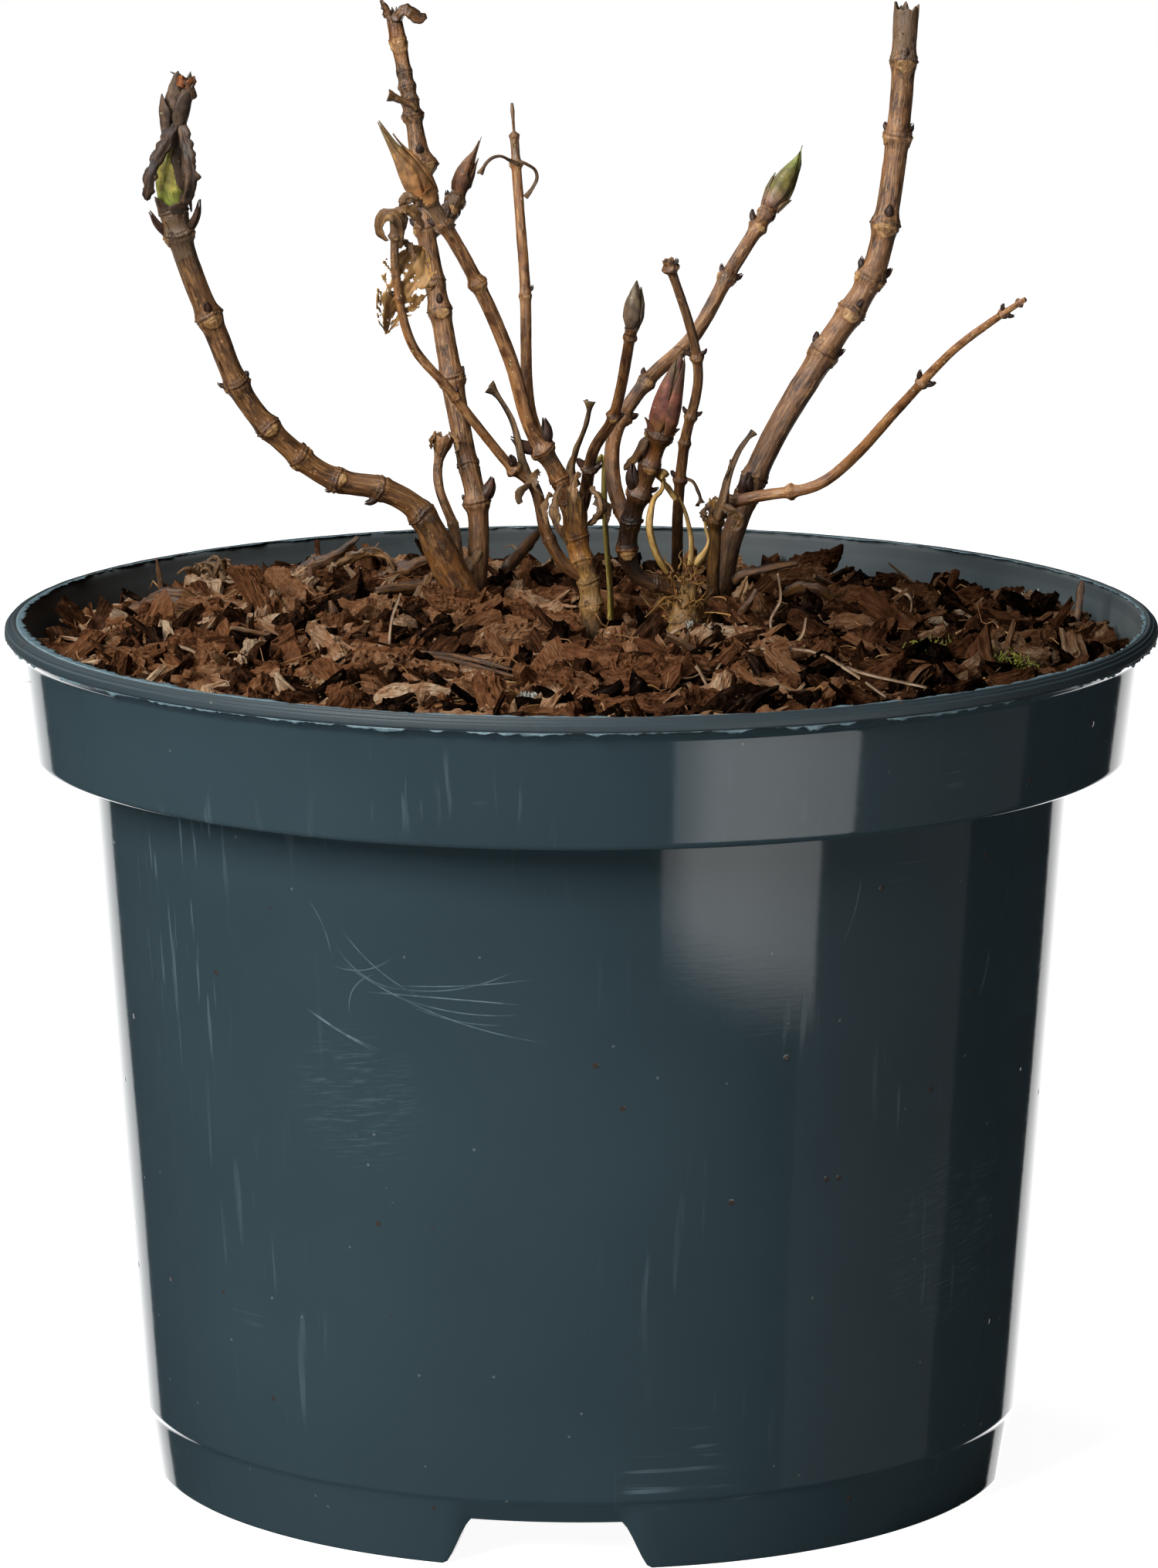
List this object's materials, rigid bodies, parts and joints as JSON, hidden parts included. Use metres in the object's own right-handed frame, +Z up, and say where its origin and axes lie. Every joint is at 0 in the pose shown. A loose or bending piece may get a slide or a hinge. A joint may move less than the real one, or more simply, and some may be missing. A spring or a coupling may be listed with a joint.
{
  "type": "potted hydrangea shrub",
  "caption": "Dormant, leafless hydrangea with jointed bare stems and pointed winter buds, growing in bark mulch in a round, collared plastic nursery pot.",
  "frame": {"origin": "centre of the pot's foot, on the surface it stands on", "axes": "+Z up along the pot's axis, +X to the plant's right and -Y to its front"},
  "size_m": [0.23, 0.23, 0.2903],
  "materials": {
    "slate_plastic": "satin-gloss moulded plastic, dark slate blue, lightly scuffed",
    "growing_medium": "dark fibrous potting medium",
    "bark_mulch": "rough red-brown bark chips",
    "stem_bark": "dry brown bark with pale scars at the leaf joints",
    "bud_scale": "smooth closed bud scales"
  },
  "bodies": {
    "root": {"pot_collar": "slate_plastic", "pot_body": "slate_plastic", "root_ball": "growing_medium", "soil_in_collar": "growing_medium", "bark_mulch": "bark_mulch", "stem_far_left_low": "stem_bark", "stub_left": "stem_bark", "stem_tall_left": "stem_bark", "stump_centre": "stem_bark", "crown_knob": "stem_bark", "twig_wavy": "stem_bark", "stem_tall_right": "stem_bark", "stub_right": "stem_bark", "stem_far_left_high": "stem_bark", "shoot_left": "stem_bark", "stem_leaning_left": "stem_bark", "twig_centre": "stem_bark", "twig_arching_low": "stem_bark", "twig_arching_high": "stem_bark", "twig_upright": "stem_bark", "stem_red_bud_low": "stem_bark", "stem_red_bud_high": "stem_bark", "stem_slant_low": "stem_bark", "stem_slant_high": "stem_bark", "twig_far_right_low": "stem_bark", "twig_far_right_high": "stem_bark", "bud_wilted": "bud_scale", "bud_olive": "bud_scale", "bud_short": "bud_scale", "bud_brown": "bud_scale", "bud_red": "bud_scale", "bud_green": "bud_scale"}
  },
  "joints": []
}
